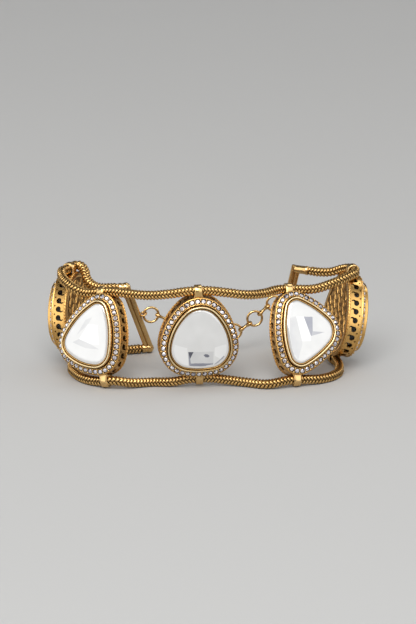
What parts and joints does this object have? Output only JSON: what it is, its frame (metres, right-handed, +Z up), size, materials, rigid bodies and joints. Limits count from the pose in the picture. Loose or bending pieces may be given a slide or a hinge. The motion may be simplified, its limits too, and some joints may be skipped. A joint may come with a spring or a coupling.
{
  "type": "kundan bracelet",
  "caption": "Loop bracelet of flat mirror-bright stones in pierced gold box settings with brilliant halos, strung on two woven chains between end bars with an extension chain.",
  "frame": {"origin": "middle of the bracelet's box at the surface that it stands on", "axes": "+X to the right along the row of settings as seen from the front, +Y away from the viewer to the extension chain, +Z up from the lower chain to the upper one"},
  "size_m": [0.0916, 0.0416, 0.0297],
  "materials": {
    "antique_gold": "antique gold plate with dark recesses",
    "chain_gold": "antique gold plated woven wire",
    "polished_gold": "polished gold plate",
    "polki_glass": "clear glass with silver foil behind it",
    "brilliant_glass": "clear cut stones"
  },
  "bodies": {
    "root": {"setting_centre": "antique_gold", "setting_left_front": "antique_gold", "setting_right_front": "antique_gold", "setting_left_side": "antique_gold", "setting_right_side": "antique_gold", "polki_stone_centre": "polki_glass", "polki_stone_left_front": "polki_glass", "polki_stone_right_front": "polki_glass", "polki_stone_left_side": "polki_glass", "polki_stone_right_side": "polki_glass", "halo_stones_centre": "brilliant_glass", "halo_stones_left_front": "brilliant_glass", "halo_stones_right_front": "brilliant_glass", "halo_stones_left_side": "brilliant_glass", "halo_stones_right_side": "brilliant_glass", "upper_chain": "chain_gold", "lower_chain": "chain_gold", "left_end_bar": "polished_gold", "right_end_bar": "polished_gold", "left_ring_1": "polished_gold", "left_ring_2": "polished_gold", "left_ring_3": "polished_gold", "right_ring_1": "polished_gold", "right_ring_2": "polished_gold", "right_ring_3": "polished_gold", "left_link_1": "polished_gold", "left_link_2": "polished_gold", "right_link_1": "polished_gold", "right_link_2": "polished_gold", "clasp": "polished_gold"}
  },
  "joints": []
}
